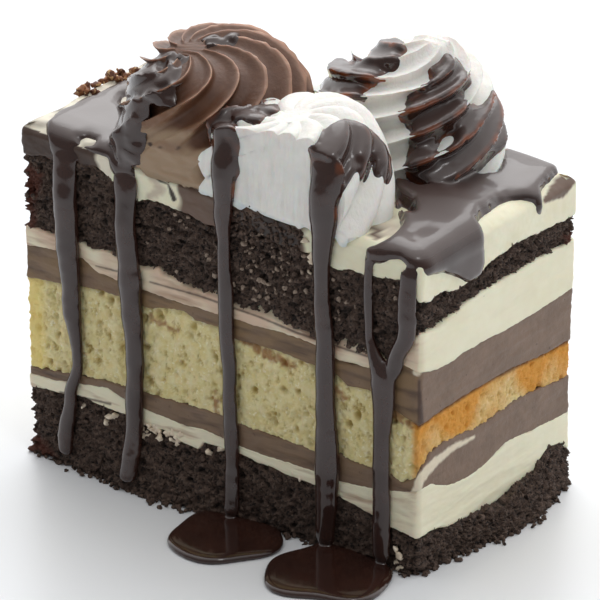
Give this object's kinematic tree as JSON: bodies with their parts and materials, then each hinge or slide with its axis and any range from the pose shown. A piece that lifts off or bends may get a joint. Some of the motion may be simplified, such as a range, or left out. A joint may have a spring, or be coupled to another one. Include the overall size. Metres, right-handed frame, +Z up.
{
  "type": "slice of layered chocolate cake",
  "caption": "Upright slice of layered chocolate and vanilla cake with cream and mousse fillings, icing, piped rosettes and chocolate sauce running down the cut face.",
  "frame": {"origin": "middle of the cake's bottom, on the table", "axes": "+Z up, +X along the long cut face, which faces -Y; the short cut face faces +X"},
  "size_m": [0.1214, 0.0946, 0.11],
  "materials": {
    "dark_sponge": "open dark chocolate crumb",
    "yellow_sponge": "open pale yellow crumb",
    "white_cream": "smooth ivory cream",
    "mousse": "smooth milk-chocolate mousse",
    "white_icing": "smooth ivory icing under glossy chocolate sauce",
    "chocolate_icing": "smooth chocolate icing under glossy chocolate sauce",
    "chocolate_cream": "piped chocolate cream",
    "whipped_cream": "piped white cream"
  },
  "bodies": {
    "root": {"base_sponge": "dark_sponge", "lower_white_cream": "white_cream", "lower_mousse": "mousse", "yellow_sponge": "yellow_sponge", "upper_mousse": "mousse", "upper_white_cream": "white_cream", "top_sponge": "dark_sponge", "icing_white": "white_icing", "icing_chocolate": "chocolate_icing", "rosette_chocolate": "chocolate_cream", "rosette_white_front": "whipped_cream", "rosette_white_back": "whipped_cream"}
  },
  "joints": []
}
